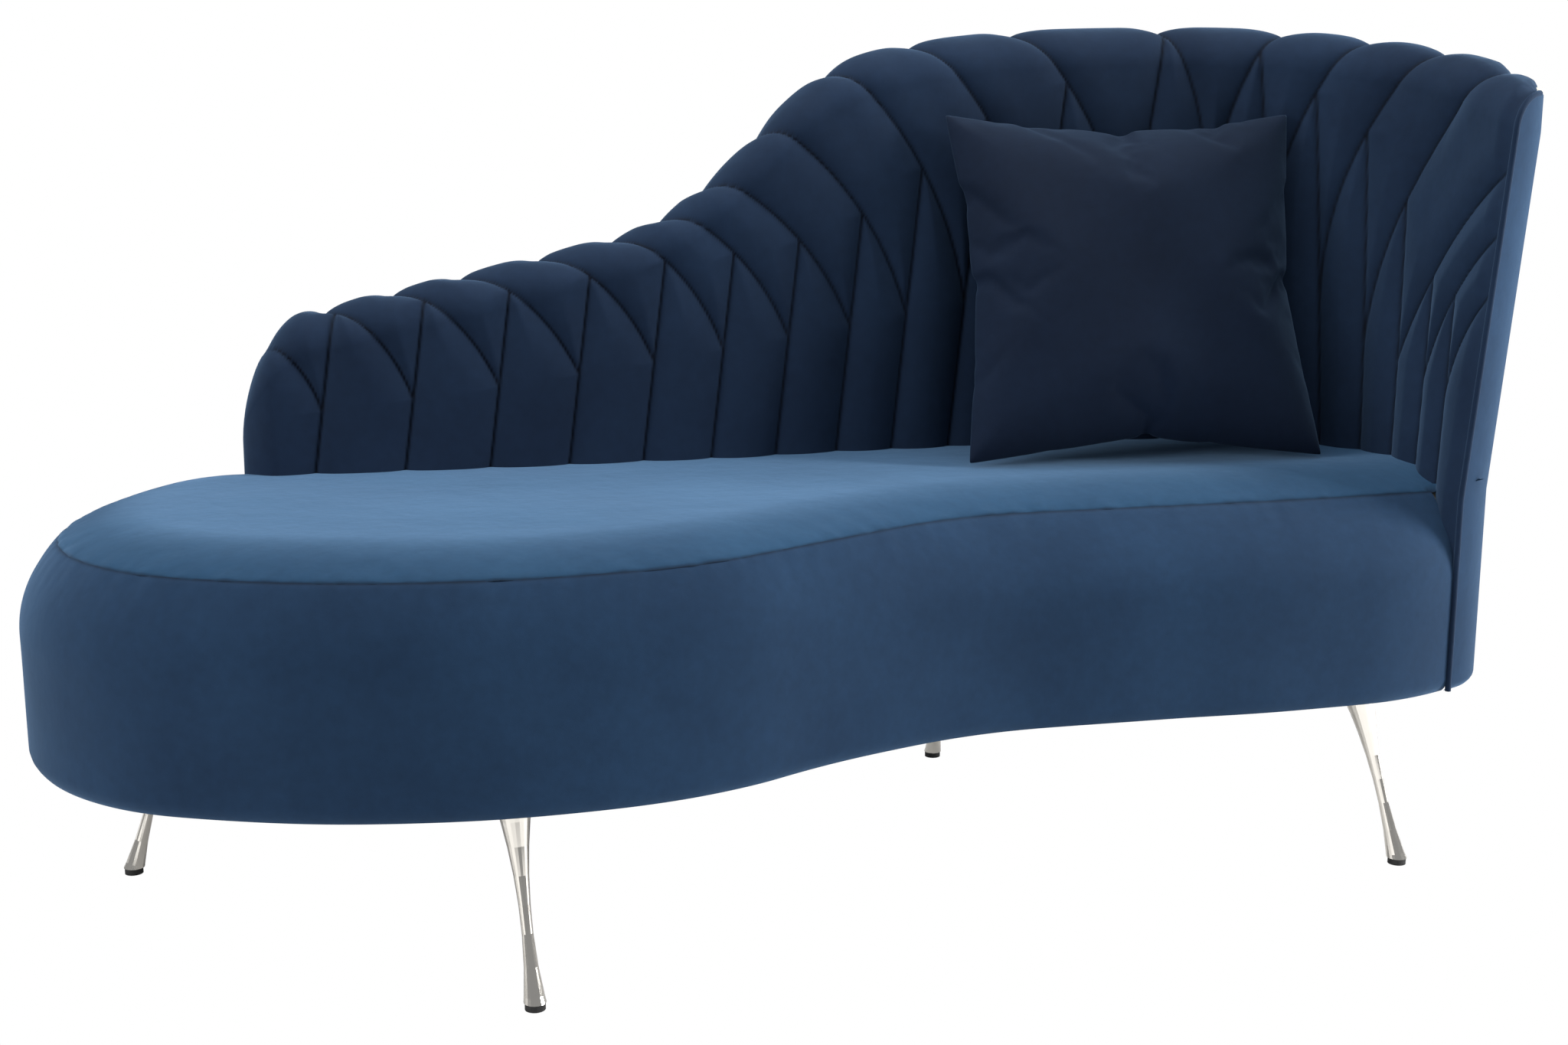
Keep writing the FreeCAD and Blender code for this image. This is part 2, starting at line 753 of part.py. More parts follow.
def make_piping():
    """A round cord up the inner edge of the arm's front end and over the top."""
    level = top_height(back_length) - roll_radius
    side = left_of(arm_heading)
    ring = [(0.0, board_level - 1), (0.0, seam_level), (0.0, level)]
    ring += [(roll_radius * (1 - cos(radians(t))), level + roll_radius * sin(radians(t))) for t in piping_turns[1:]]
    points = []
    for across, height in ring:
        place, heading = corner_place(across)
        points.append(place + side * lean(min(height, level)) + Vector(0, 0, height))
    sections = []
    for index, point in enumerate(points):
        ahead = points[min(index + 1, len(points) - 1)] - points[max(index - 1, 0)]
        ahead.normalize()
        first = ahead.cross(direction(arm_heading)).normalize()
        second = ahead.cross(first)
        centre = point + direction(arm_heading) * 1.5
        turns = [2 * pi * step / 10 for step in range(10)]
        sections.append([centre + (first * cos(t) + second * sin(t)) * piping_radius for t in turns])
    return run_through(sections)


# Scatter cushion, made flat about its middle plane and then stood against the back
def cushion_outline(corner, side, rise):
    """A square in short steps, its sides drawn in or swelling out between the corners."""
    points = []
    for way in (0, 90, 180, 270):
        for step in range(cushion_steps):
            place = 2 * step / cushion_steps - 1
            swell = (side - corner) * (1 - place ** 2)
            points.append(direction(way) * (corner + swell) + left_of(way) * corner * place + Vector(0, 0, rise))
    return points


def make_pillow(inside):
    """Closed rings from one flat top through the edge seam to the other."""
    rings = [(corner - 2 * inside, side - 1.5 * inside, rise - inside) for corner, side, rise in cushion_rings[1:]]
    corner, side, _ = cushion_rings[0]
    edge_ring = (corner - 6 * inside, side - 2 * inside, 0)
    rings = [(a, b, -c) for a, b, c in reversed(rings)] + [edge_ring] + rings
    return run_through([cushion_outline(*ring) for ring in rings])


def stand_cushion(shape):
    """From lying flat to leaning on the back, square to the path at the cushion's place."""
    base, heading = on_path(cushion_place)
    shape.rotate(Vector(0, 0, 0), Vector(1, 0, 0), 90 - cushion_tilt)
    shape.rotate(Vector(0, 0, 0), Vector(0, 0, 1), heading)
    shape.translate(base - left_of(heading) * cushion_forward + Vector(0, 0, crown_level + cushion_rise))
    return shape


# Upholstery of the seat and the back
def make_parts():
    nodes = {}
    low = leg_height
    far = back_thickness
    full = back_length + front_excess

    # What the back takes out of the seat, and the seat's rim out of the back's free end
    back_room = back_envelope(-fit_gap, seam_level + 0.6)
    under_back = back_band(-fit_gap, far + 60, at_level(low - 60), at_level(seam_level + 90), end_overhang, full + 60)
    back_room = back_room.fuse(under_back)
    heading = back_end_heading
    step_corner = on_path(0)[0] - left_of(heading) * 40 - direction(heading) * 60
    end_step = Part.makeBox(60 + end_overhang + fit_gap, far + 80, seam_level + 1 - low + 60)
    end_step.rotate(Vector(0, 0, 0), Vector(0, 0, 1), heading)
    end_step.translate(step_corner + Vector(0, 0, low - 60))
    front_end = front_cutter(0)
    front_inner = front_cutter(cover_thickness)
    front_foam = front_cutter(cover_thickness + fit_gap)
    front_wood = front_cutter(wood_inset)

    # Seat cover, in a side band and a crowned top joined at the top seam, over the foam
    inner = wall_envelope(cover_thickness, low - 20).fuse(crown_envelope(cover_thickness))
    nodes["seat_side_band"] = wall_envelope(0, low).cut(inner).cut(back_room)
    nodes["seat_top_cover"] = crown_envelope(0).cut(inner).cut(back_room)
    nodes["seat_foam"] = make_seat_foam().cut(back_room)
    nodes["base_padding"] = make_padding().cut(back_room)

    # Base frame
    bolts = Part.makeCompound([make_bolt(top, up, 0) for _, top, up in leg_frames])
    bores = Part.makeCompound([make_bolt(top, up, bore_gap) for _, top, up in leg_frames])
    nodes["lower_board"] = make_board(board_level).cut(bores)
    nodes["upper_board"] = make_board(upper_ring_level)
    nodes["board_studs"] = make_studs()
    nodes["cross_rails"] = strips_across(rail_places, rail_width, lower_ring_top, upper_ring_level, 12)
    nodes["leg_blocks"] = make_leg_blocks(bores)
    deck = deck_level + webbing_thickness
    nodes["webbing_across"] = strips_across(cross_web_places, webbing_width, deck_level, deck, 14).cut(back_room)
    top = deck + webbing_thickness
    nodes["webbing_along"] = strips_along(long_web_places, webbing_width, deck, top, 14).cut(back_room)
    dust = prism_of_points(wood_inset + 3, board_level - dust_cover_thickness, board_level)
    for foot, top, up in leg_frames:
        half = leg_top_radius + 3
        dust = dust.cut(Part.makeBox(2 * half, 2 * half, 20, Vector(top.x - half, top.y - half, board_level - 10)))
    nodes["dust_cover"] = dust

    # Legs, bolts and glides
    for (name, _, _, _), (foot, top, up) in zip(leg_places, leg_frames):
        nodes["leg_" + name] = make_leg(foot, top, up, bores)
    nodes["leg_bolts"] = bolts
    nodes["glides"] = Part.makeCompound([make_glide(foot, up) for foot, _, up in leg_frames])

    # Frame of the back
    rail_top = cover_thickness + fit_gap + top_foam_thickness + fit_gap
    rail = back_band(post_near, post_far, below_top(rail_top + top_rail_height), below_top(rail_top), 62, full)
    nodes["top_rail"] = rail.cut(front_wood)
    posts = []
    for place in back_post_places:
        ends = (place - back_post_width / 2, place + back_post_width / 2)
        sections = [band_section(end, post_near, post_far, deck_level, top_height(end) - rail_top - 12) for end in ends]
        posts.append(run_through(sections).cut(rail))
    nodes["back_posts"] = Part.makeCompound(posts)
    board_top = below_top(rail_top + 2)
    board = back_band(core_start + 0.6, core_start + 0.6 + board_thickness, at_level(deck_level), board_top, 62, full)
    nodes["inner_back_board"] = board.cut(front_wood)
    near = outer_board_near
    outer_top = below_top(roll_radius + 2)
    board = back_band(near, near + outer_board_thickness, at_level(board_level), outer_top, 48, full)
    nodes["outer_back_board"] = board.cut(front_wood)
    near += outer_board_thickness + fit_gap
    padding = back_band(near, far - cover_thickness - fit_gap, at_level(board_level), outer_top, 48, full)
    nodes["outer_back_padding"] = padding.cut(front_cutter(wood_inset - fit_gap))

    # Foam of the back, over the inner board, the top rail and round the front of the arm
    core = back_band(core_start, far + 60, at_level(low - 60), below_top(rail_top - 2 * fit_gap), 46, full + 20)
    foam = back_envelope(cover_thickness + fit_gap, foam_level).cut(core.cut(front_cutter(wood_inset - 2 * fit_gap)))
    nodes["back_foam"] = foam.cut(front_foam).cut(end_step)

    # Covers of the back: a channelled inner one that goes over the top, a plain outer one
    ridges = [ridge(*pair) for pair in all_ridges()]
    envelope = back_envelope(0, low)
    skin = envelope.fuse(ridges).cut(back_envelope(cover_thickness, low - 1))
    outside = back_band(roll_radius, far + 60, at_level(low - 60), below_top(roll_radius), wrap_place, full + 20)
    below_seat = back_band(-40, roll_radius + 0.5, at_level(low - 60), at_level(foam_level), 4, full + 20)
    inner_cover = skin.cut(outside).cut(below_seat).cut(end_step).cut(front_inner)
    nodes["back_inner_cover"] = inner_cover
    cover_top = below_top(roll_radius + 3 * fit_gap)
    outer = back_band(far - cover_thickness, far, at_level(low), cover_top, wrap_place + fit_gap, full + 20)
    panel = envelope.common(front_inner).cut(front_end)
    nodes["back_outer_cover"] = outer.cut(front_inner).fuse(panel).removeSplitter()
    piping = make_piping().cut(envelope.cut(front_end))
    nodes["arm_piping"] = piping.cut(nodes["seat_side_band"]).cut(nodes["seat_top_cover"]).cut(inner_cover)

    # Scatter cushion
    nodes["cushion_cover"] = stand_cushion(make_pillow(0).cut(make_pillow(cushion_cover)))
    nodes["cushion_filling"] = stand_cushion(make_pillow(cushion_cover + fit_gap))
    return nodes


parts = make_parts()
bounds = FreeCAD.BoundBox()
for shape in parts.values():
    for point in shape.tessellate(0.5)[0]:
        bounds.add(point)
shift = Vector(-bounds.Center.x, -bounds.Center.y, -bounds.ZMin)
os.makedirs("parts", exist_ok=True)
for name, shape in parts.items():
    shape.translate(shift)
    shape.exportStep("parts/" + name + ".step")
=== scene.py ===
import math
import bpy
import numpy as np
from mathutils import Matrix, Vector, noise
from mathutils.geometry import delaunay_2d_cdt


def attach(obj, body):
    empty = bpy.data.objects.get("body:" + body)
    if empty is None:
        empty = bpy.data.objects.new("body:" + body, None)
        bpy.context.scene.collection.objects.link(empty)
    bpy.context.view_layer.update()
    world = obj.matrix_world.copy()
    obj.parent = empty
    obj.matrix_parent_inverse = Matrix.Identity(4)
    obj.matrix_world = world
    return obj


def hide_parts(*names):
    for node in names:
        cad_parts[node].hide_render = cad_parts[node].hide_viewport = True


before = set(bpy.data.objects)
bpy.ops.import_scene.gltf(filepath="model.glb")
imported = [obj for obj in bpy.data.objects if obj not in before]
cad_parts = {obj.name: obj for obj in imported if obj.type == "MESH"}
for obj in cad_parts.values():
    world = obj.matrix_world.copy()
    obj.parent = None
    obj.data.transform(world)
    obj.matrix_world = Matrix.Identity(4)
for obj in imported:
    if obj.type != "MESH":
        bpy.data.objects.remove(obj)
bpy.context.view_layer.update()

# Sizes in millimetres, in the plan of the construction. The shift moves that plan into the frame
millimetre = 0.001
shift = (-14.76, 67.25)

# Seat: levels, crown and how far the top seam lies inside the outline at each point of it
base_level = 188.0
shoulder_level = 318.0
seam_level = 412.0
crown_rise = 24.0
crown_reach = 95.0
hem_height = 15.0
insets = (0, 30, 42, 32, 34, 70, 74, 0)
outline_count = 760
top_step = 9.0

# Back: its thickness, the half round top, the lean and the two ends
thickness = 84.0
roll = thickness / 2
lean_slope = math.tan(math.radians(5.0))
end_heading = -5
arm_heading = -93
end_overhang = 21.0
end_corner = (96.0, 150.0)
top_knots = (
    (96, 197, 0.25), (436, 273, 0.24), (628, 403, 1.0),
    (770, 488, 0.22), (1150, 518, 0), (1553, 448, -0.28),
)
hidden_foot = 396.0
front_zone = 1300.0

# Channels of the back: where the seams stand, how they lean, meet and bow
upright_seams = (83, 183, 279, 370, 457, 539, 618, 694, 765, 840, 935, 1042, 1118)
diagonal_tops = (29, 97, 174, 252, 344, 433, 493, 548, 618, 705, 812, 937, 1108)
arm_upright_seams = (1510, 1462, 1412, 1364, 1311, 1255, 1200)
arm_edge_levels = (640, 706, 774)
arm_diagonal_tops = (1498, 1399, 1321, 1237)
seam_turns = (90, 125)
seam_start = 26.0
channel_crown = 9.5
channel_half = 44.0
groove_depth = 1.2
column_step = 2.6
inner_rows, roll_rows, outer_rows = 150, 46, 40

# Scatter cushion: place along the back, tilt, distance in front of it, height and half sizes
cushion_place = 1043.0
cushion_tilt = 22.0
cushion_forward = 99.2
cushion_level = 636.8
cushion_half = 214.0
cushion_depth = 70.0
pinch_share = 0.5
cloth_frames = 50


# Plan curves: an arc is its start, its heading in degrees, its curvature and its length
def direction(heading):
    angle = math.radians(heading)
    return np.array((math.cos(angle), math.sin(angle)))


def left_of(heading):
    return direction(heading + 90)


def arc_between(start, heading, finish):
    """The arc that leaves the start at a heading and passes through the finish."""
    chord = finish - start
    tangent = direction(heading)
    half_turn = math.atan2(tangent[0] * chord[1] - tangent[1] * chord[0], tangent.dot(chord))
    size = math.hypot(chord[0], chord[1])
    curvature = 2 * math.sin(half_turn) / size
    length = 2 * half_turn / curvature if abs(half_turn) > 1e-9 else size
    return (start, heading, curvature, length)


def heading_at(arc, distance):
    return arc[1] + math.degrees(arc[2] * distance)


def point_at(arc, distance):
    start, heading, curvature, _ = arc
    if abs(curvature) < 1e-9:
        return start + direction(heading) * distance
    return start + (left_of(heading) - left_of(heading_at(arc, distance))) / curvature


def two_arcs(start, heading, finish, last_heading):
    """Two arcs that join smoothly and keep the heading at either end."""
    first = direction(heading)
    last = direction(last_heading)
    across = finish - start
    both = first + last
    bend = 2 * (1 - first.dot(last))
    if abs(bend) < 1e-9:
        reach = across.dot(across) / (4 * across.dot(last))
    else:
        along = across.dot(both)
        reach = (math.sqrt(along ** 2 + bend * across.dot(across)) - along) / bend
    meeting = (start + finish + (first - last) * reach) * 0.5
    opening = arc_between(start, heading, meeting)
    return [opening, arc_between(meeting, heading_at(opening, opening[3]), finish)]


def chain(nodes):
    arcs = []
    for (start, heading), (finish, last_heading) in zip(nodes, nodes[1:]):
        arcs += two_arcs(np.array(start, float), heading, np.array(finish, float), last_heading)
    return arcs


back_nodes = [
    ((-600, 128), end_heading), ((230, 134), 5), ((575, 104), -20),
    ((728, -90), -90), ((724, -213), arm_heading),
]
back_path = chain(back_nodes)
back_length = sum(arc[3] for arc in back_path)


def on_path(distance):
    """Point and heading on the line of the back's inner face."""
    for arc in back_path:
        if distance <= arc[3] or arc is back_path[-1]:
            break
        distance -= arc[3]
    return point_at(arc, distance), heading_at(arc, distance)


def free_outline(draw_in):
    """The part of the outline that the back doesn't cover, from the free end round to the arm."""
    outer_end = np.array(back_nodes[0][0]) + left_of(end_heading) * thickness
    outer_side = np.array(back_nodes[3][0]) + left_of(-90) * thickness
    nodes = [
        (outer_end, end_heading + 180), ((-737, 169), 235), ((-820, -49), 270), ((-333, -386), 360),
        ((-85, -332), 388), ((235, -241), 360), ((600, -246), 363), (outer_side, 450),
    ]
    moved = []
    for (point, way), inset in zip(nodes, insets):
        moved.append((np.array(point, float) + left_of(way) * inset * draw_in, way))
    return chain(moved)


def outline_samples(count, draw_in):
    """Even steps along the outline without draw-in, and the matching points of the drawn-in one."""
    plain = free_outline(0)
    arcs = free_outline(draw_in)
    total = sum(arc[3] for arc in plain[:-2]) + front_place
    points = []
    for place in np.linspace(0, total, count):
        for base, arc in zip(plain, arcs):
            if place <= base[3]:
                break
            place -= base[3]
        points.append(point_at(arc, arc[3] * min(place / base[3], 1)))
    return np.array(points)


def corner_at(place):
    """Point and heading on the arm's rounded front corner, which is the outline's last two arcs."""
    first, second = corner_arcs
    if place <= first[3]:
        return point_at(first, place), heading_at(first, place)
    return point_at(second, place - first[3]), heading_at(second, place - first[3])


def corner_place(across):
    """Distance along the corner at which it lies a distance outside the back's inner face."""
    start = np.array(back_nodes[-1][0], float)
    low, high = 0.0, corner_arcs[0][3] + corner_arcs[1][3]
    for _ in range(30):
        middle = (low + high) / 2
        if (corner_at(middle)[0] - start).dot(left_of(arm_heading)) < across:
            low = middle
        else:
            high = middle
    return low


corner_arcs = free_outline(0)[-2:]
front_place = corner_place(-0.5)


# Profile of the back
def top_height(distance):
    """Height of the top edge: a rounded corner at the free end, then a smooth curve through knots."""
    width, drop = end_corner
    if distance < width:
        share = (width - distance) / width
        return seam_level + top_knots[0][1] - drop * (1 - math.sqrt(1 - share ** 2))
    for (start, low, slope), (finish, high, last_slope) in zip(top_knots, top_knots[1:]):
        if distance <= finish:
            break
    span = finish - start
    t = (distance - start) / span
    value = low * (2 * t ** 3 - 3 * t ** 2 + 1) + high * (3 * t ** 2 - 2 * t ** 3)
    bend = span * slope * (t ** 3 - 2 * t ** 2 + t) + span * last_slope * (t ** 3 - t ** 2)
    return seam_level + value + bend


def lean(level):
    return lean_slope * np.maximum(level - seam_level, 0)


def end_radius(distance):
    """Radius of the round top, which closes in towards the free end."""
    return math.sqrt(max(roll ** 2 - max(roll - distance, 0) ** 2, 0.01))


def over_top(distance, turn):
    """Girth at which the face has turned by an angle over the round top."""
    radius = end_radius(distance)
    return top_height(distance) - radius + radius * math.radians(turn)


# Sewn seams of the back as lines of distance along the path and girth up the face
def between(first, last, share):
    return tuple(a + (b - a) * share for a, b in zip(first, last))


def bowed(first, last, bow):
    """Points of a shallow bow from one end of a seam to the other."""
    points = []
    for step in range(13):
        share = step / 12
        rise = 4 * bow * share * (1 - share)
        x, y = between(first, last, share)
        points.append((x + (first[1] - last[1]) * rise, y + (last[0] - first[0]) * rise))
    return points


def seam_side(bottoms, heads, slope, meeting, step, bow):
    """Upright seams with a diagonal from the head of each, which the next diagonal cuts off."""
    lines = []
    start = seam_level + seam_start
    diagonals = []
    feet = []
    for index, (bottom, head) in enumerate(zip(bottoms, heads)):
        girth = seam_level + meeting + step * index
        foot = (bottom + slope * (girth - start), girth)
        feet.append(foot)
        diagonals.append(bowed(foot, head[0], bow) + head[1:])
    for index, foot in enumerate(feet):
        upright = [(bottoms[index] - slope * 40, start - 40), foot]
        if index + 1 < len(feet):
            lead = diagonals[index + 1]
            gaps = [(x - foot[0] - slope * (y - foot[1])) * slope for x, y in lead]
            stop = [gap > 0 for gap in gaps].index(False)
            share = gaps[stop - 1] / (gaps[stop - 1] - gaps[stop])
            upright.append(between(lead[stop - 1], lead[stop], share))
        lines += [upright, diagonals[index]]
    return lines


def over_heads(places):
    return [[(place, over_top(place, turn)) for turn in seam_turns] for place in places]


def seam_segments():
    """Starts and ends of all straight pieces of the seams."""
    lines = seam_side(upright_seams, over_heads(diagonal_tops), 0.145, 93.0, 11.5, -0.1)
    heads = [[(back_length, level)] for level in arm_edge_levels] + over_heads(arm_diagonal_tops)
    lines += seam_side(arm_upright_seams, heads, -0.08, 108.0, 14.0, 0.1)
    pairs = [pair for line in lines for pair in zip(line, line[1:])]
    return np.array([first for first, _ in pairs]), np.array([last for _, last in pairs])


def line_distance(points, starts, ends):
    """Distance from each point to the nearest of the straight pieces."""
    nearest = np.full(len(points), 1e9)
    for first, last in zip(starts, ends):
        along = last - first
        share = np.clip((points - first) @ along / along.dot(along), 0, 1)
        away = points - (first + share[:, None] * along)
        nearest = np.minimum(nearest, np.hypot(away[:, 0], away[:, 1]))
    return nearest


def smooth(value):
    """Soft step from 0 to 1."""
    value = np.clip(value, 0, 1)
    return value * value * (3 - 2 * value)


# Meshes
def rough(flat, scale, height, height_scale):
    """Smooth noise over the plan and the height, the same at each run."""
    points = np.column_stack([flat * scale, np.full(len(flat), height * height_scale)])
    return np.array([noise.noise(Vector((float(x), float(y), float(z)))) for x, y, z in points])


def inward_of(line):
    """Directions square to a line in plan, to its left."""
    tangents = np.gradient(line, axis=0)
    tangents /= np.linalg.norm(tangents, axis=1)[:, None]
    return np.stack([-tangents[:, 1], tangents[:, 0]], axis=1)


def mesh_object(name, points, faces, material):
    """A smooth shaded mesh from points in millimetres."""
    placed = np.array(points, float) + np.array((shift[0], shift[1], 0))
    data = bpy.data.meshes.new(name)
    data.from_pydata((placed * millimetre).tolist(), [], faces)
    data.shade_smooth()
    data.materials.append(material)
    made = bpy.data.objects.new(name, data)
    bpy.context.scene.collection.objects.link(made)
    return made


def grid_faces(rows, columns, flip=False):
    faces = []
    for row in range(rows - 1):
        for column in range(columns - 1):
            a = row * columns + column
            face = (a, a + 1, a + columns + 1, a + columns)
            faces.append(face[::-1] if flip else face)
    return faces


def store(made, name, values):
    """Keeps a number per vertex, for the material to read."""
    layer = made.data.attributes.new(name, "FLOAT", "POINT")
    layer.data.foreach_set("value", np.asarray(values, np.float32))


# Materials
def new_material(name):
    material = bpy.data.materials.new(name)
    material.use_nodes = True
    nodes = material.node_tree.nodes
    return material, nodes, material.node_tree.links, nodes["Principled BSDF"]


def noise_node(nodes, links, scale, detail):
    place = nodes.new("ShaderNodeTexCoord")
    texture = nodes.new("ShaderNodeTexNoise")
    texture.inputs["Scale"].default_value = scale
    texture.inputs["Detail"].default_value = detail
    texture.inputs["Roughness"].default_value = 0.55
    links.new(place.outputs["Object"], texture.inputs["Vector"])
    return texture


def bump(nodes, links, texture, strength, distance):
    made = nodes.new("ShaderNodeBump")
    made.inputs["Strength"].default_value = strength
    made.inputs["Distance"].default_value = distance
    links.new(texture.outputs["Fac"], made.inputs["Height"])
    return made


def velvet(name, dark, light, sheen):
    """Short nap velvet: brushed patches, fine pile, a soft sheen at grazing angles, painted shade along the
    seams.
    """
    material, nodes, links, shader = new_material(name)
    patches = noise_node(nodes, links, 5.0, 5.0)
    ramp = nodes.new("ShaderNodeValToRGB")
    for element, place, color in zip(ramp.color_ramp.elements, (0.3, 0.72), (dark, light)):
        element.position = place
        element.color = (*color, 1)
    links.new(patches.outputs["Fac"], ramp.inputs["Fac"])
    streaks = noise_node(nodes, links, 90.0, 3.0)
    tint = nodes.new("ShaderNodeMixRGB")
    tint.blend_type = "MULTIPLY"
    tint.inputs["Fac"].default_value = 0.3
    links.new(ramp.outputs["Color"], tint.inputs["Color1"])
    links.new(streaks.outputs["Fac"], tint.inputs["Color2"])
    # Painted shade in the seam grooves: the seam attribute darkens the colour towards dark blue grey.
    seam = nodes.new("ShaderNodeAttribute")
    seam.attribute_name = "seam"
    shade = nodes.new("ShaderNodeMixRGB")
    shade.blend_type = "MULTIPLY"
    shade.inputs["Color2"].default_value = (0.12, 0.14, 0.18, 1)
    links.new(tint.outputs["Color"], shade.inputs["Color1"])
    links.new(seam.outputs["Fac"], shade.inputs["Fac"])
    links.new(shade.outputs["Color"], shader.inputs["Base Color"])
    shader.inputs["Roughness"].default_value = 0.85
    shader.inputs["Specular IOR Level"].default_value = 0.15
    shader.inputs["Sheen Weight"].default_value = sheen
    shader.inputs["Sheen Roughness"].default_value = 0.42
    shader.inputs["Sheen Tint"].default_value = (0.35, 0.6, 0.95, 1)
    fine = bump(nodes, links, noise_node(nodes, links, 1400.0, 2.0), 0.25, 0.0004)
    broad = bump(nodes, links, noise_node(nodes, links, 24.0, 3.0), 0.35, 0.0025)
    links.new(broad.outputs["Normal"], fine.inputs["Normal"])
    links.new(fine.outputs["Normal"], shader.inputs["Normal"])
    return material


def metal(name, color, roughness):
    """Bare metal whose polish varies a little."""
    material, nodes, links, shader = new_material(name)
    shader.inputs["Base Color"].default_value = (*color, 1)
    shader.inputs["Metallic"].default_value = 1.0
    wear = noise_node(nodes, links, 60.0, 4.0)
    span = nodes.new("ShaderNodeMapRange")
    span.inputs["To Min"].default_value = roughness * 0.8
    span.inputs["To Max"].default_value = roughness * 1.3
    links.new(wear.outputs["Fac"], span.inputs["Value"])
    links.new(span.outputs["Result"], shader.inputs["Roughness"])
    return material


def plain(name, dark, light, roughness, scale):
    """A dull material with a grain between two colours."""
    material, nodes, links, shader = new_material(name)
    grain = noise_node(nodes, links, scale, 6.0)
    mix = nodes.new("ShaderNodeMixRGB")
    mix.inputs["Color1"].default_value = (*dark, 1)
    mix.inputs["Color2"].default_value = (*light, 1)
    links.new(grain.outputs["Fac"], mix.inputs["Fac"])
    links.new(mix.outputs["Color"], shader.inputs["Base Color"])
    shader.inputs["Roughness"].default_value = roughness
    return material


# One velvet in four copies whose base colours and sheen stand in for light and shade: painted light on the
# seat top, painted shade on the side walls and arm strip, and deeper painted shade on the back, its piping
# and the scatter cushion.
velvet_painted_light_top = velvet("velvet_top_painted_light", (0.0125, 0.048, 0.106), (0.0195, 0.07, 0.144), 0.5)
velvet_painted_shade_side = velvet("velvet_side_painted_shade", (0.010, 0.031, 0.073), (0.016, 0.047, 0.105), 0.35)
velvet_painted_shade_back = velvet("velvet_back_painted_shade", (0.0078, 0.0195, 0.047), (0.013, 0.0305, 0.069), 0.24)
cushion_velvet = velvet("velvet_cushion_painted_shade", (0.0038, 0.0098, 0.026), (0.0064, 0.0155, 0.039), 0.17)
leg_metal = metal("polished_metal_look", (0.86, 0.82, 0.75), 0.09)
zinc = metal("zinc_look", (0.6, 0.6, 0.6), 0.35)
black_rubber = plain("rubber_look", (0.012, 0.012, 0.012), (0.03, 0.03, 0.03), 0.7, 200.0)
pale_wood = plain("wood_look", (0.42, 0.27, 0.14), (0.62, 0.44, 0.26), 0.6, 12.0)
soft_fill = plain("filling_look", (0.7, 0.66, 0.55), (0.8, 0.77, 0.68), 0.9, 300.0)
dark_cloth = plain("lining_look", (0.006, 0.006, 0.007), (0.015, 0.015, 0.016), 0.95, 500.0)
looks = {
    "leg_": leg_metal, "glides": black_rubber, "leg_bolts": zinc,
    "dust_cover": dark_cloth, "webbing": dark_cloth, "seat_foam": soft_fill,
    "back_foam": soft_fill, "padding": soft_fill, "cushion_filling": soft_fill,
}


def dress_frame():
    """Materials of the construction's own pieces. Those without a look of their own are wood."""
    for name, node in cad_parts.items():
        look = pale_wood
        for key, material in looks.items():
            if key in name and name != "leg_blocks":
                look = material
        node.data.materials.clear()
        node.data.materials.append(look)
        if name.startswith("leg_") and name not in ("leg_blocks", "leg_bolts") or name == "glides":
            node.data.shade_smooth()
            node.data.set_sharp_from_angle(angle=math.radians(40))


# The back: one sheet up the inner face, over the round top and down the outer face
front_table = {}
path_table = {}


def front_limit(across):
    """Distance along the path at which the arm's rounded front end cuts the back off."""
    key = round(float(across) / 2)
    if key not in front_table:
        spot = corner_at(corner_place(key * 2))[0]
        past = (spot - np.array(back_nodes[-1][0], float)).dot(direction(arm_heading + 180))
        front_table[key] = back_length - past
    return front_table[key]


def near_path(distance):
    key = round(distance, 1)
    if key not in path_table:
        path_table[key] = on_path(distance)
    return path_table[key]


def back_profile(place):
    """Radius, then level and turn of each row of one column, and its girth from the floor up."""
    radius = end_radius(place)
    level = top_height(place) - radius
    if place < end_overhang:
        foot = low = seam_level + 1.5
    else:
        foot = hidden_foot - 90 * float(smooth((place - 1470) / 60))
        low = base_level + 1
    inner = np.linspace(foot, level, inner_rows, endpoint=False)
    turn = np.linspace(0, math.pi, roll_rows)
    outer = np.linspace(level, low, outer_rows + 1)[1:]
    heights = np.concatenate([inner, np.full(roll_rows, level), outer])
    turns = np.concatenate([np.zeros(inner_rows), turn, np.full(outer_rows, math.pi)])
    girths = np.concatenate([inner, level + radius * turn, np.full(outer_rows, level + radius * math.pi)])
    return radius, heights, turns, girths


def back_column(place, profile, away):
    """Points of one column, raised between the seams, and how much painted shade the seam groove gets at
    each.
    """
    radius, heights, turns, _ = profile
    swell = np.clip(away / channel_half, 0, 1)
    groove = groove_depth * np.exp(-(away / 2.2) ** 2)
    past_top = smooth((turns - math.radians(110)) / math.radians(50))
    fade = (1 - past_top) * smooth(np.array(place / 45))
    edge = 0.25 + 0.75 * smooth(np.array((back_length - place) / 22))
    proud = (channel_crown * (1 - (1 - swell) ** 2.7) - groove) * fade * edge
    across = roll + lean(heights) - (radius + proud) * np.cos(turns)
    rise = heights + (radius + proud) * np.sin(turns)
    reach = np.clip(across - lean(heights), 0, thickness)
    column = []
    for row, outward in enumerate(across):
        here = place
        if place > front_zone:
            share = (front_limit(reach[row]) - front_zone) / (back_length - front_zone)
            here = front_zone + (place - front_zone) * share
        base, heading = near_path(here)
        spot = base + left_of(heading) * outward
        column.append((spot[0], spot[1], rise[row]))
    return column, np.exp(-(away / 1.7) ** 2) * fade


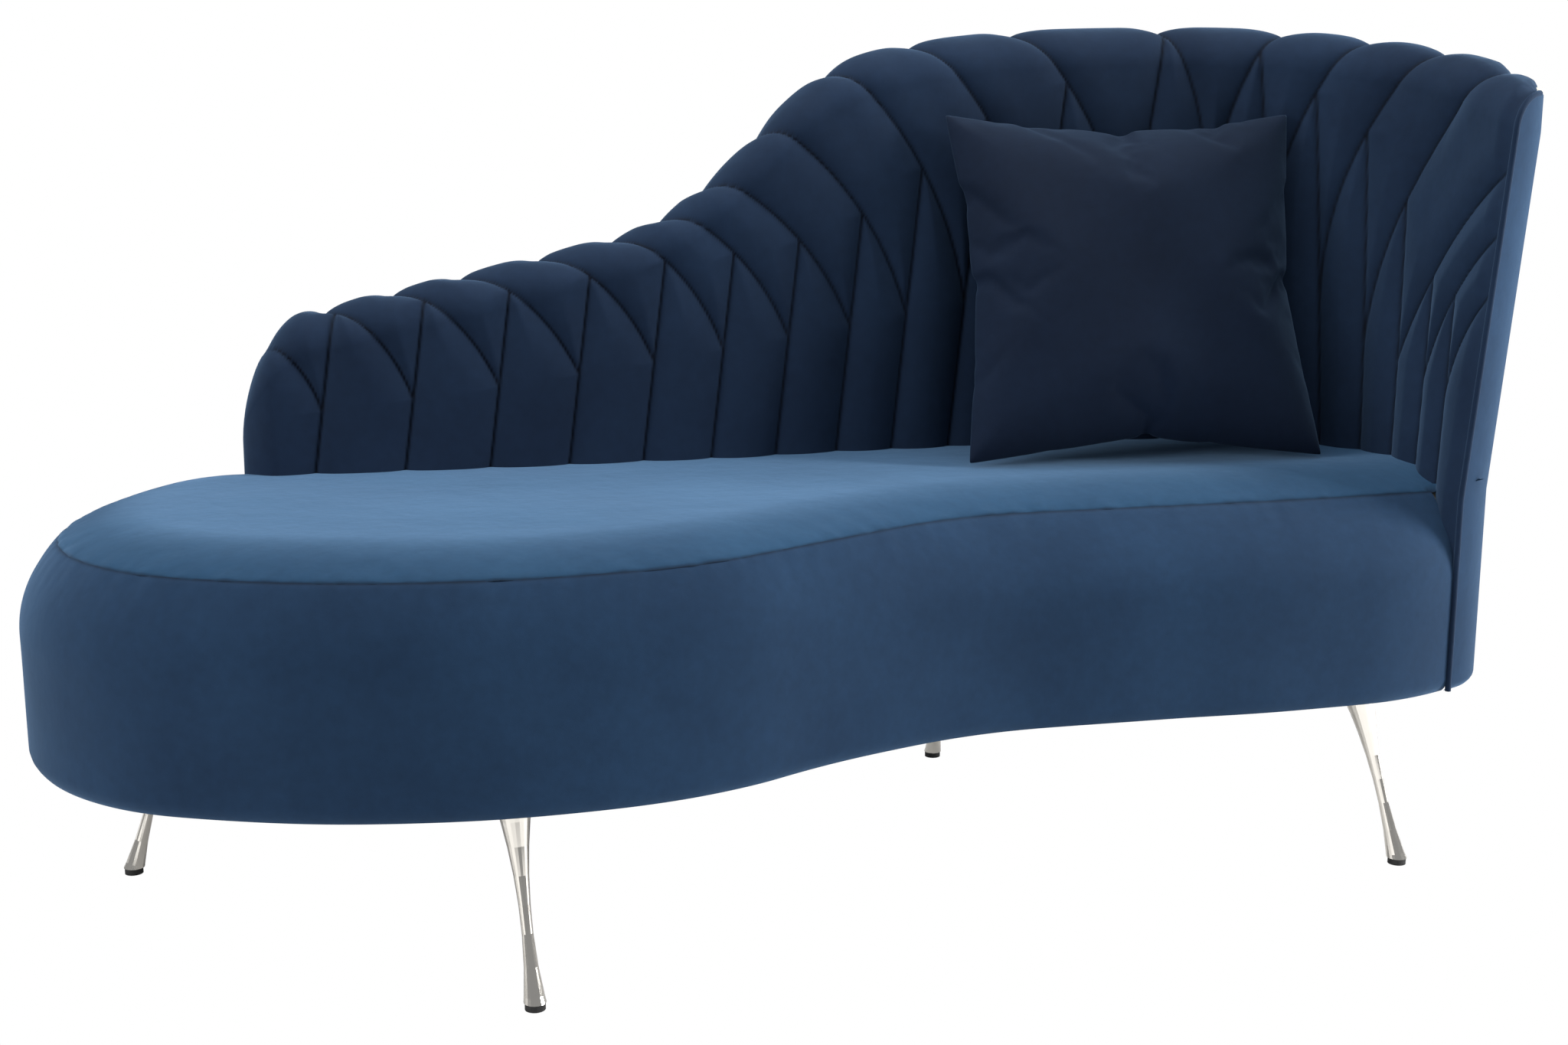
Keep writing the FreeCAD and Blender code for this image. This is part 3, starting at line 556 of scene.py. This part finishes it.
def back_sheet():
    turns = np.radians(np.linspace(4, 90, 16))
    places = list(roll - roll * np.cos(turns))
    places += list(np.arange(roll + column_step, back_length, column_step)) + [back_length]
    profiles = [back_profile(place) for place in places]
    flat = np.array([(place, girth) for place, profile in zip(places, profiles) for girth in profile[3]])
    away = line_distance(flat, *seam_segments()).reshape(len(places), -1)
    points, seams = [], []
    for place, profile, distances in zip(places, profiles, away):
        column, dark = back_column(place, profile, distances)
        points += column
        seams.append(dark)
    made = mesh_object("back_cover", points, grid_faces(len(places), away.shape[1]), velvet_painted_shade_back)
    # The seam attribute carries painted shade along the back's sewn seams.
    store(made, "seam", np.concatenate(seams))
    return made


def arm_front():
    """The outer cover's strip that wraps the front end of the arm."""
    level = top_height(back_length) - roll
    rows, columns = 220, 44
    points = []
    for column in range(columns):
        across = thickness * (column / (columns - 1)) ** 1.3
        spot, heading = corner_at(corner_place(min(across, thickness - 0.05)))
        crown = math.sqrt(max(roll ** 2 - (roll - across) ** 2, 0))
        for row in range(rows):
            height = base_level + (level + crown - base_level) * row / (rows - 1)
            tuck = 5 * max(1 - (height - base_level) / 9, 0) ** 2
            swell = 2.2 * math.sin(math.pi * min(across / thickness * 1.2, 1)) - tuck
            place = spot - left_of(heading) * swell + left_of(arm_heading) * lean(min(height, level))
            points.append((place[0], place[1], height))
    return mesh_object("arm_front_strip", points, grid_faces(columns, rows, True), velvet_painted_shade_side)


# The seat: a side band and a crowned top that meet in the top seam
def wall_levels():
    """Rows of the wall, close together at the hem and under the top seam."""
    hem = base_level + np.array((0, 1.5, 4, 8, 14))
    wall = np.linspace(206, shoulder_level, 22)
    shoulder = np.linspace(shoulder_level + 3, seam_level - 6, 34)
    return np.concatenate([hem, wall, shoulder, seam_level + np.array((-4, -2.5, -1.2, -0.4))])


def side_band():
    levels = wall_levels()
    plain_line = outline_samples(outline_count, 0)
    inward = inward_of(plain_line)
    rows = []
    seams = []
    for height in levels:
        rise = max((height - shoulder_level) / (seam_level - shoulder_level), 0)
        line = outline_samples(outline_count, rise ** 2.2)
        below = seam_level - height
        tuck = 7 * max(1 - (height - base_level) / hem_height, 0) ** 2
        tuck += 2.2 * max(1 - below / 5, 0) ** 2
        gathers = 1.5 * math.exp(-(below / 26) ** 2) * rough(plain_line, 0.055, height, 0.006)
        broad = 1.6 * rough(plain_line, 0.008, height, 0.01)
        depth = tuck - gathers - broad
        rows.append(np.column_stack([line + inward * depth[:, None], np.full(outline_count, height)]))
        # Painted shade in the rows just under the top seam.
        seams.append(np.full(outline_count, math.exp(-(below / 1.6) ** 2)))
    made = mesh_object("seat_side", np.concatenate(rows), grid_faces(len(levels), outline_count), velvet_painted_shade_side)
    store(made, "seam", np.concatenate(seams))
    return made


def top_points(rim, outline):
    """Points for the top's mesh: its outline, rows close to the seam and a loose grid inside."""
    low, high = outline.min(axis=0), outline.max(axis=0)
    xs, ys = np.meshgrid(np.arange(low[0], high[0], top_step), np.arange(low[1], high[1], top_step))
    inside = np.column_stack([xs.ravel(), ys.ravel()])
    inside += np.random.default_rng(7).uniform(-1.5, 1.5, inside.shape)
    inward = inward_of(rim)
    rings = [rim[3:-3] + inward[3:-3] * step for step in (1.2, 3.0, 6.0)]
    keep = line_distance(inside, rim[:-1], rim[1:]) > top_step
    return [Vector(point) for point in np.concatenate([outline] + rings + [inside[keep]])]


def seat_top():
    rim = outline_samples(outline_count, 1.0)
    under_back = []
    for place in np.arange(back_length - 2, 10, -14):
        base, heading = on_path(place)
        under_back.append(base + left_of(heading) * 30)
    outline = np.concatenate([rim, np.array(under_back)])
    count = len(outline)
    edges = [(index, (index + 1) % count) for index in range(count)]
    verts, _, faces, *_ = delaunay_2d_cdt(top_points(rim, outline), edges, [], 1, 1e-5)
    flat = np.array([tuple(v) for v in verts])
    away = line_distance(flat, rim[:-1], rim[1:])
    rise = crown_rise * (1 - (1 - np.clip(away / crown_reach, 0, 1)) ** 2.3)
    lip = 1.8 * np.clip(1 - away / 5, 0, 1) ** 2
    gathers = 1.4 * np.exp(-(away / 30) ** 2) * rough(flat, 0.055, 0, 0)
    broad = 1.6 * np.clip(away / 60, 0, 1) * rough(flat, 0.006, 0, 0)
    height = seam_level + rise - lip + gathers + broad
    made = mesh_object("seat_top", np.column_stack([flat, height]), [tuple(f) for f in faces], velvet_painted_light_top)
    # Painted shade at the top's edge along the top seam.
    store(made, "seam", np.exp(-(away / 1.6) ** 2))
    return made


# Piping up the inner edge of the arm's front end and over its top
def piping():
    level = top_height(back_length) - roll
    spots = [(0.0, height) for height in np.linspace(base_level + 1, level, 60)]
    for turn in np.linspace(0, math.pi / 2, 16)[1:]:
        spots.append((roll * (1 - math.cos(turn)), level + roll * math.sin(turn)))
    curve = bpy.data.curves.new("arm_piping_cord", "CURVE")
    curve.dimensions = "3D"
    curve.bevel_depth = 0.0034
    curve.bevel_resolution = 4
    curve.use_fill_caps = True
    line = curve.splines.new("POLY")
    line.points.add(len(spots) - 1)
    for point, (across, height) in zip(line.points, spots):
        spot = corner_at(corner_place(across))[0] + left_of(arm_heading) * lean(min(height, level))
        spot = (spot + direction(arm_heading) * 1.5 + np.array(shift)) * millimetre
        point.co = (spot[0], spot[1], height * millimetre, 1)
    made = bpy.data.objects.new("arm_piping_cord", curve)
    bpy.context.scene.collection.objects.link(made)
    curve.materials.append(velvet_painted_shade_back)
    bpy.context.view_layer.objects.active = made
    made.select_set(True)
    bpy.ops.object.convert(target="MESH")
    made.data.shade_smooth()
    return made


# Scatter cushion: two squares sewn at the edge and blown up by a cloth simulation
def pillow_mesh(steps, size, bulge):
    points, faces = [], []
    index = {}
    for side in (1, -1):
        for row in range(steps + 1):
            for column in range(steps + 1):
                u, v = 2 * row / steps - 1, 2 * column / steps - 1
                rim = row in (0, steps) or column in (0, steps)
                if rim and side < 0:
                    index[side, row, column] = index[1, row, column]
                    continue
                index[side, row, column] = len(points)
                points.append((u * size, v * size, side * bulge * (1 - u ** 4) * (1 - v ** 4)))
        for row in range(steps):
            for column in range(steps):
                face = [index[side, row + a, column + b] for a, b in ((0, 0), (1, 0), (1, 1), (0, 1))]
                faces.append(face if side > 0 else face[::-1])
    return points, faces


def blow_up(made):
    """Fills the flat cover with air by a cloth simulation and keeps its last shape."""
    cloth = made.modifiers.new("Cloth", "CLOTH")
    settings = cloth.settings
    settings.quality = 8
    settings.mass = 0.25
    settings.tension_stiffness = 30
    settings.compression_stiffness = 30
    settings.shear_stiffness = 12
    settings.bending_stiffness = 0.25
    settings.use_pressure = True
    settings.uniform_pressure_force = 9.0
    settings.effector_weights.gravity = 0.0
    settings.air_damping = 4.0
    cloth.point_cache.frame_start = 1
    cloth.point_cache.frame_end = cloth_frames
    scene = bpy.context.scene
    for number in range(1, cloth_frames + 1):
        scene.frame_set(number)
    shape = bpy.data.meshes.new_from_object(made.evaluated_get(bpy.context.evaluated_depsgraph_get()))
    made.modifiers.clear()
    made.data = shape
    scene.frame_set(1)


def cushion():
    steps = 64
    points, faces = pillow_mesh(steps, 0.232, 0.012)
    data = bpy.data.meshes.new("cushion_blown")
    data.from_pydata(points, [], faces)
    made = bpy.data.objects.new("cushion_blown", data)
    bpy.context.scene.collection.objects.link(made)
    blow_up(made)
    spots = np.array([tuple(v.co) for v in made.data.vertices])
    spots -= (spots.min(axis=0) + spots.max(axis=0)) / 2
    flat = np.array(points)
    spots[:, :2] = pinch_share * spots[:, :2] + (1 - pinch_share) * flat[:, :2]
    reach = np.abs(spots).max(axis=0)
    sideways = cushion_half / reach[:2]
    spots *= np.array((*sideways, min(cushion_depth / reach[2], sideways[0])))
    base, heading = on_path(cushion_place)
    middle = base - left_of(heading) * cushion_forward
    turn = Matrix.Rotation(math.radians(heading), 4, "Z")
    turn = turn @ Matrix.Rotation(math.radians(90 - cushion_tilt), 4, "X")
    placed = [tuple(turn @ Vector(spot) + Vector((middle[0], middle[1], cushion_level))) for spot in spots]
    faces = [tuple(face.vertices) for face in made.data.polygons]
    bpy.data.objects.remove(made)
    final = mesh_object("scatter_cushion_cover", placed, faces, cushion_velvet)
    relax = final.modifiers.new("Subdivision", "SUBSURF")
    relax.levels = 1
    bpy.context.view_layer.objects.active = final
    bpy.ops.object.modifier_apply(modifier="Subdivision")
    return final


# Floor, background, lights and camera
def stage_floor():
    """A pale floor that the camera itself sees as plain white."""
    material, nodes, links, shader = new_material("floor_look")
    shader.inputs["Base Color"].default_value = (0.85, 0.85, 0.85, 1)
    shader.inputs["Roughness"].default_value = 0.9
    glow = nodes.new("ShaderNodeEmission")
    path = nodes.new("ShaderNodeLightPath")
    mix = nodes.new("ShaderNodeMixShader")
    links.new(path.outputs["Is Camera Ray"], mix.inputs["Fac"])
    links.new(shader.outputs["BSDF"], mix.inputs[1])
    links.new(glow.outputs["Emission"], mix.inputs[2])
    links.new(mix.outputs["Shader"], nodes["Material Output"].inputs["Surface"])
    bpy.ops.mesh.primitive_plane_add(size=40, location=(0, 0, -0.0005))
    floor = bpy.context.object
    floor.name = "floor"
    floor.data.materials.append(material)


def background():
    """Soft light all round, with plain white behind the object."""
    world = bpy.data.worlds.new("surround")
    bpy.context.scene.world = world
    world.use_nodes = True
    nodes, links = world.node_tree.nodes, world.node_tree.links
    soft = nodes["Background"]
    soft.inputs["Color"].default_value = (0.95, 0.97, 1.0, 1)
    soft.inputs["Strength"].default_value = 0.3
    white = nodes.new("ShaderNodeBackground")
    white.inputs["Color"].default_value = (1, 1, 1, 1)
    white.inputs["Strength"].default_value = 1.0
    path = nodes.new("ShaderNodeLightPath")
    mix = nodes.new("ShaderNodeMixShader")
    links.new(path.outputs["Is Camera Ray"], mix.inputs["Fac"])
    links.new(soft.outputs["Background"], mix.inputs[1])
    links.new(white.outputs["Background"], mix.inputs[2])
    links.new(mix.outputs["Shader"], nodes["World Output"].inputs["Surface"])


def area_light(name, place, target, size, power):
    data = bpy.data.lights.new(name, "AREA")
    data.shape = "RECTANGLE"
    data.size, data.size_y = size
    data.energy = power
    lamp = bpy.data.objects.new(name, data)
    lamp.location = place
    lamp.rotation_euler = (Vector(target) - Vector(place)).to_track_quat("-Z", "Y").to_euler()
    bpy.context.scene.collection.objects.link(lamp)


def camera():
    data = bpy.data.cameras.new("camera")
    data.sensor_width = 36.0
    data.lens = 2600 / 2048 * 36.0
    made = bpy.data.objects.new("camera", data)
    made.location = ((-540 + shift[0]) * 0.001, (-2155 + shift[1]) * 0.001, 0.833)
    made.rotation_euler = (math.radians(90 - 11.57455), 0, math.radians(-14.0))
    bpy.context.scene.collection.objects.link(made)
    bpy.context.scene.camera = made
    bpy.context.scene.view_settings.view_transform = "Standard"


dress_frame()
pieces = [
    (back_sheet(), ("back_inner_cover", "back_outer_cover"), "velvet", "chaise"),
    (seat_top(), ("seat_top_cover",), "velvet", "chaise"),
    (side_band(), ("seat_side_band",), "velvet", "chaise"),
    (cushion(), ("cushion_cover", "cushion_filling"), "cushion_velvet", "scatter_cushion"),
]
for piece, nodes, slot, body in pieces:
    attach(piece, body)
    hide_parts(*nodes)
strip = arm_front()
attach(strip, "chaise")
cord_line = piping()
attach(cord_line, "chaise")
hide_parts("arm_piping")
stage_floor()
background()
area_light("key", (3.0, -1.0, 1.2), (0, -0.2, 0.3), (1.1, 1.3), 105)
area_light("top", (-0.2, 0.1, 2.9), (-0.2, 0, 0.4), (2.4, 1.3), 60)
area_light("fill", (-2.8, -0.9, 1.2), (-0.3, 0, 0.4), (1.4, 1.0), 34)
camera()
